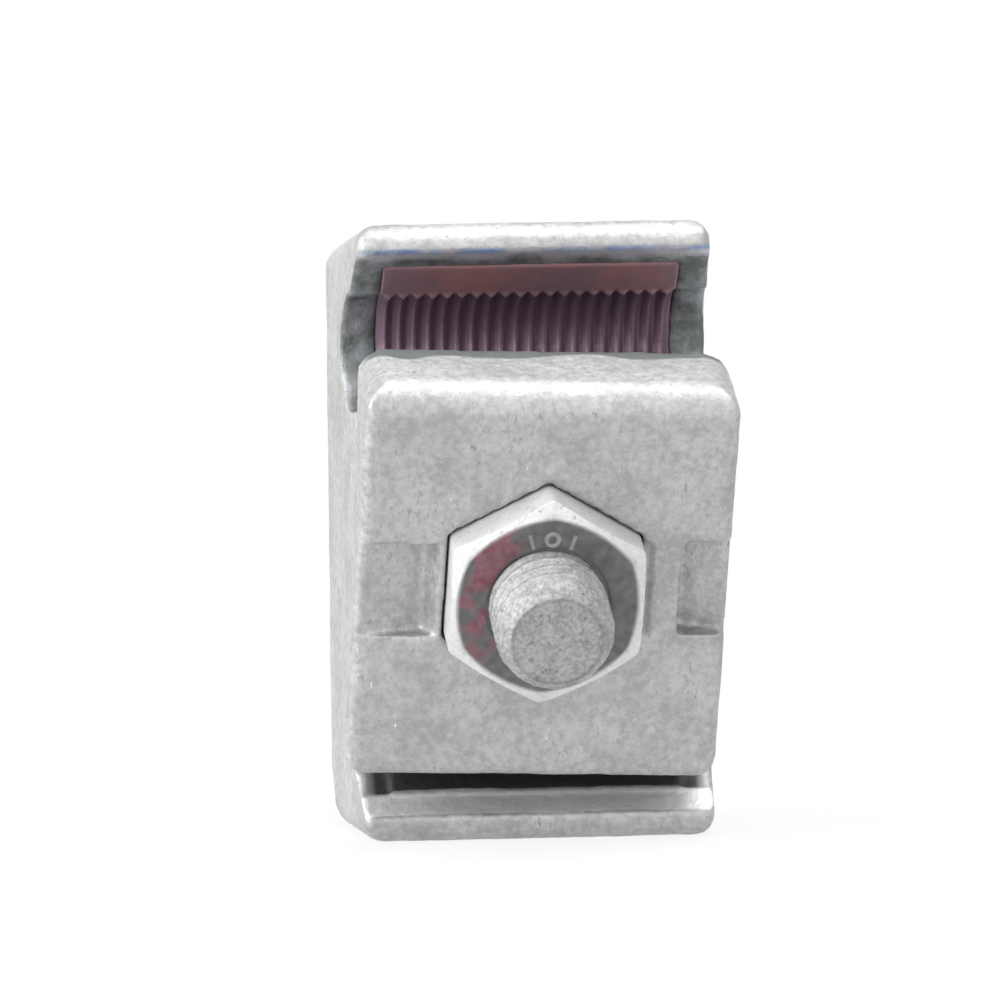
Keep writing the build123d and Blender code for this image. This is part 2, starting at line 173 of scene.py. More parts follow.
@dataclass(frozen=True)
class ShotBlastedAluminium(MetalFinish):
    """Gravity-cast aluminium, shot-blasted and left raw: neutral grey, matt and finely mottled.

    The shot leaves soft dents, handling leaves faint scuffs, and a few bright specks are painted glints.
    """

    name: str = "shot_blasted_cast_aluminium"
    pale: str = "#BEBEBD"
    grey: str = "#A2A2A2"
    scuff: str = "#7E7E7E"
    # painted glints: bright specks standing in for highlights
    painted_glint: str = "#F4F4F4"
    patch_mm: float = 4.5
    dent_mm: float = 0.55  # real dents are about 0.3 mm, drawn coarser so that they show
    scuff_wide_mm: float = 0.28
    scuff_long_mm: float = 0.9
    metallic: float = 0.78
    roughness: tuple[float, float] = (0.42, 0.62)
    bump_mm: float = 0.08
    bump_share: float = 0.7

    def material(self) -> Material:
        """Build the finish.

        Returns:
            The material, its patterns fixed to the piece.
        """
        material, tree = new_material(self.name)
        place = add_node(tree, "ShaderNodeTexCoord").outputs["Object"]
        patch, dent = (
            add_node(
                tree,
                "ShaderNodeTexNoise",
                {"Vector": place, "Scale": scale_for(size), "Detail": 4.0, "Roughness": 0.68},
            )
            for size in (self.patch_mm, self.dent_mm)
        )
        across, along = scale_for(self.scuff_wide_mm), scale_for(self.scuff_long_mm)
        drawn = add_node(
            tree,
            "ShaderNodeMapping",
            {"Vector": place, "Rotation": (0.4, 0.7, 0.9), "Scale": (across, across, along)},
        )
        scuffs = add_node(
            tree,
            "ShaderNodeTexNoise",
            {"Vector": drawn, "Scale": 1.0, "Detail": 3.0, "Distortion": 0.7},
        )
        mixed = add_node(
            tree, "ShaderNodeMath", {0: dent, 1: 1.3, 2: patch}, operation="MULTIPLY_ADD"
        )
        tone, worn_and_highlighted = (
            add_node(
                tree, "ShaderNodeMapRange", {"Value": value, "From Min": start, "From Max": full}
            )
            for value, start, full in ((mixed, 0.94, 1.36), (patch, 0.46, 0.64))
        )
        colour = add_node(
            tree,
            "ShaderNodeMixRGB",
            {"Fac": tone, "Color1": linear(self.grey), "Color2": linear(self.pale)},
        )
        # scuffs darken the worn patches; painted glints add bright specks
        for tint, start, full, share in (
            (self.scuff, 0.58, 0.74, worn_and_highlighted),
            (self.painted_glint, 0.27, 0.22, 0.8),
        ):
            mark = add_node(
                tree, "ShaderNodeMapRange", {"Value": scuffs, "From Min": start, "From Max": full}
            )
            faint = add_node(tree, "ShaderNodeMath", {0: mark, 1: share}, operation="MULTIPLY")
            colour = add_node(
                tree, "ShaderNodeMixRGB", {"Fac": faint, "Color1": colour, "Color2": linear(tint)}
            )
        height = dent
        for layer, share in ((patch, 1.4), (scuffs, -0.5)):
            height = add_node(
                tree, "ShaderNodeMath", {0: layer, 1: share, 2: height}, operation="MULTIPLY_ADD"
            )
        self.surface(tree, self.tinted(tree, place, colour), dent, height)
        return material

    def tinted(self, tree: NodeTree, place: Source, colour: Source) -> Source:
        """Leave the casting's colour as it is."""
        return colour


@dataclass(frozen=True)
class PaintedShadeAluminium(ShotBlastedAluminium):
    """The same casting with painted shade in both grooves and painted light on the lower groove's lead-in wall.

    The painted shade is grey-black inside the upper groove and on the down-facing wall under its lip. It fades to
    pale grey toward the lip's edge, and a thin painted blue reflection runs along that edge.
    """

    name: str = "shot_blasted_cast_aluminium_painted_shade"
    groove: tuple[float, float] = (0.0, 0.0)
    lower_height: float = 0.0
    lip_edge: float = 40.2
    # painted shade in deep and pale greys, inside the upper groove and under its lip, then a pale painted shade
    # fading at the lip's edge
    painted_shade_deep: str = "#686C6C"
    painted_shade_pale: str = "#A8ABAE"
    painted_shade_fade: str = "#BEBEC2"
    # painted blue reflection in a thin band along the lip's edge
    painted_blue_reflection: str = "#7C93BC"
    # painted shade deep in the lower groove's slit
    painted_shade_lower: str = "#464646"
    # painted light, near white, on the up-facing lead-in wall of the lower groove
    painted_light_wall: str = "#F0F0F0"
    streak_mm: float = 3.0

    def tinted(self, tree: NodeTree, place: Source, colour: Source) -> Source:
        """Paint shade in both grooves and under the upper lip, light on the lower lead-in wall, and a blue
        reflection along the lip's edge.

        Args:
            tree: Node tree of the material.
            place: Point on the piece.
            colour: The bare casting's colour.

        Returns:
            The colour with the painted light and shade on it.
        """
        y, z = self.groove
        axes = add_node(tree, "ShaderNodeSeparateXYZ", {"Vector": place}).outputs
        normal = add_node(tree, "ShaderNodeNewGeometry").outputs["Normal"]
        facing = add_node(tree, "ShaderNodeSeparateXYZ", {"Vector": normal}).outputs["Z"]
        streak_noise = add_node(
            tree,
            "ShaderNodeTexNoise",
            {"Vector": place, "Scale": scale_for(self.streak_mm), "Detail": 4.0, "Roughness": 0.6},
        )
        section = add_node(
            tree, "ShaderNodeVectorMath", {0: place, 1: (0.0, 1.0, 1.0)}, operation="MULTIPLY"
        )
        radius, lower_radius = (
            add_node(
                tree,
                "ShaderNodeVectorMath",
                {0: section, 1: (0.0, y * MM, height * MM)},
                operation="DISTANCE",
            ).outputs["Value"]
            for height in (z, self.lower_height)
        )
        wavy = add_node(
            tree, "ShaderNodeMath", {0: streak_noise, 1: 1.2 * MM, 2: axes[2]}, operation="MULTIPLY_ADD"
        )
        off_centre = add_node(tree, "ShaderNodeMath", {0: axes[0]}, operation="ABSOLUTE")
        wall, edge, floor = GROOVE_RADIUS, self.lip_edge, self.lower_height
        crown = z + wall
        # where each mask is 0 and where it is full, in millimetres
        lengths = {
            "bore": (radius, wall + 0.24, wall + 0.1),
            "lower": (lower_radius, wall + 2.2, wall + 2.0),
            "inside": (axes[1], y - 2.3, y - 2.05),
            "between": (off_centre, 11.7, 10.9),
            "low": (axes[2], floor, floor - 3.0),
            "lip": (axes[1], y - 3.95, y - 3.8),
            "outside": (axes[1], y - 2.05, y - 2.3),
            "high": (axes[2], crown - 0.3, crown),
            "ahead": (axes[1], y + 0.3, y),
            "shade_fade_band": (wavy, edge - 0.15, edge + 0.3),
            "above": (axes[2], edge - 0.24, edge - 0.04),
            "below": (axes[2], edge + 0.3, edge + 0.1),
            "front": (axes[1], y - 2.9, y - 3.2),
        }
        # the same for masks that follow the slope and the streak noise
        limits = {
            "wall": (facing, 0.4, 0.6),
            "under": (facing, -0.12, -0.4),
            "patch": (streak_noise, 0.44, 0.6),
            "streaks": (streak_noise, 0.42, 0.66),
        }
        for name, (value, start, full) in lengths.items():
            limits[name] = (value, start * MM, full * MM)
        mask = {
            name: add_node(
                tree, "ShaderNodeMapRange", {"Value": value, "From Min": start, "From Max": full}
            )
            for name, (value, start, full) in limits.items()
        }
        for name, others in (
            ("under", ("high", "ahead")),
            ("shade_fade_band", ("under",)),
            ("above", ("below", "patch", "front")),
            ("lower", ("inside", "between")),
            ("wall", ("low", "lip", "outside")),
        ):
            for other in others:
                mask[name] = add_node(
                    tree, "ShaderNodeMath", {0: mask[name], 1: mask[other]}, operation="MULTIPLY"
                )
        # share of painted shade: inside the upper groove, and on the down-facing faces under its lip
        painted_shade_share = add_node(
            tree, "ShaderNodeMath", {0: mask["bore"], 1: mask["under"]}, operation="MAXIMUM"
        )
        painted_shade_colour = add_node(
            tree,
            "ShaderNodeMixRGB",
            {"Fac": mask["streaks"], "Color1": linear(self.painted_shade_deep), "Color2": linear(self.painted_shade_pale)},
        )
        # painted shade in both grooves and under the upper lip, painted light on the lower lead-in wall, and a
        # painted blue reflection along the lip's edge
        for share, over in (
            (mask["lower"], linear(self.painted_shade_lower)),
            (mask["wall"], linear(self.painted_light_wall)),
            (painted_shade_share, painted_shade_colour),
            (mask["shade_fade_band"], linear(self.painted_shade_fade)),
            (mask["above"], linear(self.painted_blue_reflection)),
        ):
            colour = add_node(
                tree, "ShaderNodeMixRGB", {"Fac": share, "Color1": colour, "Color2": over}
            )
        return colour


@dataclass(frozen=True)
class TopShadeAluminium(ShotBlastedAluminium):
    """The same casting with a grey-green painted shade along the back of its top face."""

    name: str = "shot_blasted_cast_aluminium_top_shade"
    tipward: tuple[float, float, float] = (0.0, -1.0, 0.0)
    border: float = 0.0
    # painted shade along the back of the top face
    film_and_painted_shade: str = "#707573"
    wave_long_mm: float = 7.0
    wave_high_mm: float = 5.0

    def tinted(self, tree: NodeTree, place: Source, colour: Source) -> Source:
        """Paint shade on the back of the top face, up to a wavy border.

        Args:
            tree: Node tree of the material.
            place: Point on the piece.
            colour: The bare casting's colour.

        Returns:
            The colour with the painted shade on it.
        """
        normal = add_node(tree, "ShaderNodeNewGeometry").outputs["Normal"]
        facing = add_node(tree, "ShaderNodeSeparateXYZ", {"Vector": normal}).outputs["Z"]
        wave = add_node(
            tree,
            "ShaderNodeTexNoise",
            {"Vector": place, "Scale": scale_for(self.wave_long_mm), "Detail": 1.0},
        )
        along = add_node(
            tree, "ShaderNodeVectorMath", {0: place, 1: self.tipward}, operation="DOT_PRODUCT"
        ).outputs["Value"]
        height = -self.wave_high_mm * MM
        reach = add_node(
            tree, "ShaderNodeMath", {0: wave, 1: height, 2: along}, operation="MULTIPLY_ADD"
        )
        end = self.border - self.wave_high_mm / 2
        back, up = (
            add_node(
                tree, "ShaderNodeMapRange", {"Value": value, "From Min": start, "From Max": full}
            )
            for value, start, full in (
                (reach, (end + 0.15) * MM, (end - 0.15) * MM),
                (facing, 0.5, 0.8),
            )
        )
        share = add_node(tree, "ShaderNodeMath", {0: back, 1: up}, operation="MULTIPLY")
        return add_node(
            tree, "ShaderNodeMixRGB", {"Fac": share, "Color1": colour, "Color2": linear(self.film_and_painted_shade)}
        )


@dataclass(frozen=True)
class OxidisedCopper(MetalFinish):
    """Formed copper strip browned by storage.

    The oxide looks red-brown where the strip is smooth and purple-brown between the ribs. The ribs' crests are
    painted paler, a painted highlight.
    """

    name: str = "oxidised_copper_strip"
    smooth: str = "#826A71"
    flush: str = "#8E6868"
    valley: str = "#6A5564"
    # painted highlight: the paler colour on the ribs' crests
    crest_highlight: str = "#74606B"
    stain_mm: float = 4.0
    grain_mm: float = 0.3
    metallic: float = 0.5
    roughness: tuple[float, float] = (0.34, 0.58)
    bump_mm: float = 0.03
    bump_share: float = 0.5

    def material(self) -> Material:
        """Build the finish, which reads each liner's own crest_highlight values, a painted highlight on the ribs'
        crests, and its ribbed values.

        Returns:
            The material.
        """
        material, tree = new_material(self.name)
        place = add_node(tree, "ShaderNodeTexCoord").outputs["Object"]
        crest_highlight, ribbed = (
            add_node(tree, "ShaderNodeAttribute", attribute_name=name).outputs["Fac"]
            for name in ("crest_highlight", "ribbed")
        )
        stain, grain = (
            add_node(
                tree,
                "ShaderNodeTexNoise",
                {"Vector": place, "Scale": scale_for(size), "Detail": detail, "Roughness": rough},
            )
            for size, detail, rough in ((self.stain_mm, 5.0, 0.6), (self.grain_mm, 2.0, 0.5))
        )
        warm = add_node(
            tree, "ShaderNodeMapRange", {"Value": stain, "From Min": 0.44, "From Max": 0.62}
        )
        worn_and_highlighted, plain = (
            add_node(
                tree,
                "ShaderNodeMixRGB",
                {"Fac": share, "Color1": linear(under), "Color2": linear(over)},
            )
            for share, under, over in (
                (crest_highlight, self.valley, self.crest_highlight),
                (warm, self.smooth, self.flush),
            )
        )
        # ribs take the purple-brown oxide with a painted highlight on their crests
        colour = add_node(
            tree, "ShaderNodeMixRGB", {"Fac": ribbed, "Color1": plain, "Color2": worn_and_highlighted}
        )
        shade = add_node(
            tree,
            "ShaderNodeMapRange",
            {"Value": stain, "From Min": 0.3, "From Max": 0.7, "To Min": 0.84, "To Max": 1.14},
        )
        colour = add_node(
            tree, "ShaderNodeVectorMath", {0: colour, "Scale": shade}, operation="SCALE"
        )
        self.surface(tree, colour, grain, grain)
        return material


@dataclass(frozen=True)
class HotDipGalvanised(MetalFinish):
    """Hot-dip galvanised steel spun dry.

    The zinc is a grainy grey skin with light crests and dark pinholes.
    """

    name: str = "hot_dip_galvanised_steel"
    zinc: str = "#AEAEAE"
    dull: str = "#868686"
    pinhole: str = "#5A5A5A"
    grain_mm: float = 0.3
    patch_mm: float = 1.6
    # dark dye film, also the colour of the painted shade along the bolt end's rim
    film_and_painted_shade: str = "#585858"
    stain: str = "#7A4652"
    metallic: float = 0.5
    roughness: tuple[float, float] = (0.45, 0.7)
    bump_mm: float = 0.07
    bump_share: float = 0.8

    def material(self) -> Material:
        """Build the finish, with the dark dye film, and the painted shade along the bolt end's rim, where a
        piece's own film_and_painted_shade value asks for it.

        Returns:
            The material.
        """
        material, tree = new_material(self.name)
        place = add_node(tree, "ShaderNodeTexCoord").outputs["Object"]
        film_and_painted_shade, stain = (
            add_node(tree, "ShaderNodeAttribute", attribute_name=name).outputs["Fac"]
            for name in ("film_and_painted_shade", "stain")
        )
        grain, patch = (
            add_node(
                tree,
                "ShaderNodeTexNoise",
                {"Vector": place, "Scale": scale_for(size), "Detail": 4.0, "Roughness": rough},
            )
            for size, rough in ((self.grain_mm, 0.7), (self.patch_mm, 0.5))
        )
        mixed = add_node(
            tree, "ShaderNodeMath", {0: patch, 1: 0.4, 2: grain}, operation="MULTIPLY_ADD"
        )
        tone, holes = (
            add_node(
                tree, "ShaderNodeMapRange", {"Value": value, "From Min": start, "From Max": full}
            )
            for value, start, full in ((mixed, 0.56, 0.84), (grain, 0.36, 0.3))
        )
        dye_and_painted_shade = add_node(
            tree,
            "ShaderNodeMixRGB",
            {"Fac": stain, "Color1": linear(self.film_and_painted_shade), "Color2": linear(self.stain)},
        )
        colour = linear(self.dull)
        for share, over in (
            (tone, linear(self.zinc)),
            (holes, linear(self.pinhole)),
            (film_and_painted_shade, dye_and_painted_shade),
        ):
            colour = add_node(
                tree, "ShaderNodeMixRGB", {"Fac": share, "Color1": colour, "Color2": over}
            )
        self.surface(tree, colour, patch, grain)
        return material


@dataclass(frozen=True)
class SpunGalvanised(HotDipGalvanised):
    """The nut's zinc, spun off hotter than the bolt's: paler and finer."""

    name: str = "spun_hot_dip_galvanised_steel"
    zinc: str = "#D8D8D8"
    dull: str = "#CACACA"
    pinhole: str = "#808080"


@dataclass(frozen=True)
class ScrewLine:
    """Line that the bolt, nut and washers share, read from the frame's joints."""

    origin: Vector
    tipward: Vector

    @classmethod
    def from_joint(cls, name: str) -> "ScrewLine":
        """Read the line from a joint that turns about it.

        Args:
            name: The joint's name.

        Returns:
            The line, through the joint's own point.
        """
        joint = next(j for j in frame["joints"] if j["name"] == name)
        return cls(Vector(joint["pos_m"]), Vector(joint["axis"]).normalized())

    def placement(self, twist: float = 0.0) -> Matrix:
        """Give the matrix from millimetres along and round the line to the frame.

        Args:
            twist: Degrees that the piece is turned clockwise, seen from the tip.

        Returns:
            Matrix whose Z runs toward the bolt's tip and whose Y is its upward side.
        """
        across = Vector((1.0, 0.0, 0.0))
        upward = self.tipward.cross(across)
        basis = Matrix((across, upward, self.tipward)).transposed().to_4x4()
        turned = basis @ Matrix.Rotation(math.radians(-twist), 4, "Z")
        return Matrix.Translation(self.origin) @ turned @ FROM_MM

    def reach(self, node: str) -> tuple[float, float]:
        """Find where a node begins and ends along the line.

        Args:
            node: Name of the CAD node.

        Returns:
            Lowest and highest distance toward the tip, in millimetres.
        """
        along = [
            (v.co - self.origin).dot(self.tipward) / MM for v in frame["nodes"][node].data.vertices
        ]
        return min(along), max(along)


@dataclass(frozen=True)
class CoarseThread:
    """Right-hand M8 thread whose roots are partly filled with zinc."""

    major_diameter: float = 8.0
    pitch: float = 1.25
    depth: float = 0.3

    def radius(self, turn: np.ndarray, along: np.ndarray) -> np.ndarray:
        """Give the screw's radius.

        Args:
            turn: Angle about the line, in whole turns.
            along: Distance toward the tip, in millimetres.

        Returns:
            Radius in millimetres, full at the crests.
        """
        phase = (along / self.pitch - turn) % 1.0
        fall = np.clip((np.abs(phase - 0.5) * 2 - 0.16) / 0.66, 0.0, 1.0)
        return self.major_diameter / 2 - self.depth * fall * fall * (3 - 2 * fall)


@dataclass(frozen=True)
class Hexagon:
    """Hexagon with the cone that turns its corners."""

    across_flats: float = 13.0
    face_diameter: float = 12.48
    chamfer_angle: float = 30.0
    corner_power: float = 45.0

    def radius(self, turn: np.ndarray) -> np.ndarray:
        """Give the hexagon's radius, its corners very slightly rounded.

        Args:
            turn: Angle in whole turns, 0 at the middle of a flat.

        Returns:
            Radius in millimetres.
        """
        flats = np.arange(6) / 6
        facing = np.cos((turn[:, None] - flats[None, :]) * 2 * math.pi)
        blend = np.sum(np.clip(facing, 0.0, 1.0) ** self.corner_power, axis=1)
        return self.across_flats / 2 / blend ** (1 / self.corner_power)

    def cone(self, turn: np.ndarray, share: float) -> tuple[np.ndarray, np.ndarray]:
        """Give a line of the cone between the face's circle and the flats.

        Args:
            turn: Angle in whole turns.
            share: 0 at the circle and 1 at the flats.

        Returns:
            Radius, and depth below the face, in millimetres.
        """
        circle = self.face_diameter / 2
        radius = circle + (self.radius(turn) - circle) * share
        return radius, (radius - circle) * math.tan(math.radians(self.chamfer_angle))


def ring_mesh(name: str, rings: list[tuple[np.ndarray, np.ndarray]], closed: bool) -> Mesh:
    """Make a mesh from rings round the local Z axis.

    Args:
        name: The mesh's name.
        rings: Radius and height of the points of each ring.
        closed: Whether the last ring joins the first, as round a bore. Ends are capped otherwise.

    Returns:
        The mesh, smooth shaded, its faces pointing outward.
    """
    radius, along = (np.array(rows) for rows in zip(*rings))
    count, steps = radius.shape
    angle = np.arange(steps) / steps * 2 * math.pi
    points = np.stack([radius * np.cos(angle), radius * np.sin(angle), along], -1).reshape(-1, 3)
    here = np.arange(count * steps).reshape(count, steps)
    beside = np.roll(here, -1, axis=1)
    last = count if closed else count - 1
    ahead, far = np.roll(here, -1, axis=0)[:last], np.roll(beside, -1, axis=0)[:last]
    faces = np.stack([here[:last], beside[:last], far, ahead], -1).reshape(-1, 4).tolist()
    if not closed:
        points = np.vstack([points, [[0, 0, along[0].mean()], [0, 0, along[-1].mean()]]])
        start, end = count * steps, count * steps + 1
        faces += [[start, int(b), int(a)] for a, b in zip(here[0], beside[0])]
        faces += [[end, int(a), int(b)] for a, b in zip(here[-1], beside[-1])]
    mesh = bpy.data.meshes.new(name)
    mesh.from_pydata(points.tolist(), [], faces)
    made = bmesh.new()
    made.from_mesh(mesh)
    bmesh.ops.recalc_face_normals(made, faces=made.faces)
    made.to_mesh(mesh)
    made.free()
    mesh.shade_smooth()
    return mesh


def points_of(mesh: Mesh, layer: str = "co") -> np.ndarray:
    """Read a mesh's points.

    Args:
        mesh: The mesh.
        layer: "co" for the points themselves, "normal" for their normals.

    Returns:
        One row of three for each point.
    """
    flat = np.empty(len(mesh.vertices) * 3)
    mesh.vertices.foreach_get(layer, flat)
    return flat.reshape(-1, 3)


def field(points: np.ndarray, size: float, offset: float = 0.0) -> np.ndarray:
    """Read a smooth noise field.

    Args:
        points: Points in millimetres.
        size: Width of one lump in millimetres.
        offset: Moves the field, so that pieces differ.

    Returns:
        A value from about -1 to 1 for each point.
    """
    return np.array([noise.noise(Vector(p / size + offset)) for p in points])


def roughen(mesh: Mesh, lumps: tuple[tuple[float, float], ...], offset: float = 0.0) -> None:
    """Push a mesh's points in and out along their normals.

    Args:
        mesh: Mesh in millimetres.
        lumps: Width and height of each layer of lumps, in millimetres.
        offset: Moves the noise, so that pieces differ.
    """
    points, normals = points_of(mesh), points_of(mesh, "normal")
    push = sum(field(points, size, offset) * height for size, height in lumps)
    mesh.vertices.foreach_set("co", (points + normals * push[:, None]).ravel())
    mesh.update()


def set_values(mesh: Mesh, name: str, values: np.ndarray) -> None:
    """Store one value for each point, for a material to read."""
    layer = mesh.attributes.new(name, "FLOAT", "POINT")
    layer.data.foreach_set("value", values.astype(np.float32))


def softened(node: str, voxel: float, passes: int) -> Mesh:
    """Copy a CAD node's form with soft, even edges.

    Args:
        node: Name of the CAD node.
        voxel: Size of the new mesh's faces, in millimetres.
        passes: Rounds of smoothing.

    Returns:
        The copied mesh, in millimetres.
    """
    mesh = frame["nodes"][node].data.copy()
    mesh.transform(Matrix.Scale(1 / MM, 4))
    joined = bmesh.new()
    joined.from_mesh(mesh)
    bmesh.ops.remove_doubles(joined, verts=joined.verts, dist=voxel * 0.01)
    joined.to_mesh(mesh)
    joined.free()
    holder = bpy.data.objects.new(node + "_source", mesh)
    bpy.context.scene.collection.objects.link(holder)
    remesh = holder.modifiers.new("remesh", "REMESH")
    remesh.mode = "VOXEL"
    remesh.voxel_size = voxel
    smooth = holder.modifiers.new("smooth", "SMOOTH")
    smooth.iterations = passes
    graph = bpy.context.evaluated_depsgraph_get()
    result = bpy.data.meshes.new_from_object(holder.evaluated_get(graph), depsgraph=graph)
    bpy.data.objects.remove(holder)
    result.shade_smooth()
    return result


def place_piece(
    name: str, mesh: Mesh, body: str, material: Material, matrix: Matrix = FROM_MM
) -> Object:
    """Put a finished mesh in the frame as a piece that stands for the CAD node of its name.

    Args:
        name: Name of the CAD node that it stands for.
        mesh: The piece's mesh, in its own millimetres.
        body: CAD body that it rides on.
        material: Its finish.
        matrix: From those millimetres to the frame.

    Returns:
        The piece.
    """
    mesh.transform(matrix)
    mesh.materials.clear()
    mesh.materials.append(material)
    piece = bpy.data.objects.new(name + "_finished", mesh)
    bpy.context.scene.collection.objects.link(piece)
    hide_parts(name)
    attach(piece, body)
    return piece


@dataclass
class Casting:
    """A cast jaw: the CAD form with worn, slightly uneven edges and faces."""

    node: str
    body: str
    finish: ShotBlastedAluminium
    voxel: float
    offset: float
    smoothing: int = 3
    # width and height of each layer of lumps, in millimetres
    lumps: tuple[tuple[float, float], ...] = ((5.0, 0.05), (1.4, 0.03), (0.6, 0.018))

    def build(self) -> list[Object]:
        """Make and dress the casting.

        Returns:
            The casting as one piece.
        """
        mesh = softened(self.node, self.voxel, self.smoothing)
        roughen(mesh, self.lumps, self.offset)
        material = self.finish.material()
        return [place_piece(self.node, mesh, self.body, material)]


@dataclass
class CopperLining:
    """A copper strip formed into a jaw's hollow, with ribs that bite into the conductor."""

    node: str
    body: str
    finish: OxidisedCopper
    centre: tuple[float, float]
    wall_radius: float
    axes: Matrix = FROM_MM  # from the millimetres of its centre to the frame
    rib_height: float = 0.42
    crest_start: float = 0.55  # share of a rib's height where its painted crest highlight begins
    crest_fade: float = 0.35
    lumps: tuple[tuple[float, float], ...] = ((3.0, 0.02), (0.7, 0.012))
    smooth_above: float | None = None
    smooth_fade: float = 0.3
    voxel: float = 0.12
    smoothing: int = 1

    def build(self) -> list[Object]:
        """Make and dress the lining.

        Returns:
            The lining as one piece.
        """
        mesh = softened(self.node, self.voxel, self.smoothing)
        roughen(mesh, self.lumps)
        points = points_of(mesh)
        own = np.array(self.axes.inverted() @ FROM_MM)
        along = points @ own[:3, :3].T + own[:3, 3]
        radius = np.hypot(along[:, 1] - self.centre[0], along[:, 2] - self.centre[1])
        rise = (self.wall_radius - radius) / self.rib_height
        # painted highlight share, paler toward each rib's crest
        set_values(mesh, "crest_highlight", np.clip((rise - self.crest_start) / self.crest_fade, 0.0, 1.0))
        ribbed = np.ones(len(points))
        if self.smooth_above is not None:
            ribbed = np.clip((self.smooth_above - points[:, 2]) / self.smooth_fade, 0.0, 1.0)
        set_values(mesh, "ribbed", ribbed)
        return [place_piece(self.node, mesh, self.body, self.finish.material())]


@dataclass(frozen=True)
class PressedMark:
    """A plain ring between two bars, pressed into the nut's face."""

    ring_radius: float = 0.42
    ring_half_width: float = 0.12
    bar_offset: float = 1.42
    bar_half_width: float = 0.11
    bar_half_length: float = 0.52
    soft_edge: float = 0.12
    depth: float = 0.1
    paler: float = 0.42  # how much less dark film lies in it

    def share(self, sideways: np.ndarray, out: np.ndarray) -> np.ndarray:
        """Tell how far each point is pressed in.

        Args:
            sideways: Distance from the mark's middle along the nut's face.
            out: Distance from its middle away from the bore.

        Returns:
            0 outside the mark and 1 at its bottom.
        """
        line = np.abs(np.hypot(sideways, out) - self.ring_radius) - self.ring_half_width
        for centre in (-self.bar_offset, self.bar_offset):
            beside = np.abs(sideways - centre) - self.bar_half_width
            line = np.minimum(line, np.maximum(beside, np.abs(out) - self.bar_half_length))
        return np.clip(0.5 - line / self.soft_edge, 0.0, 1.0)


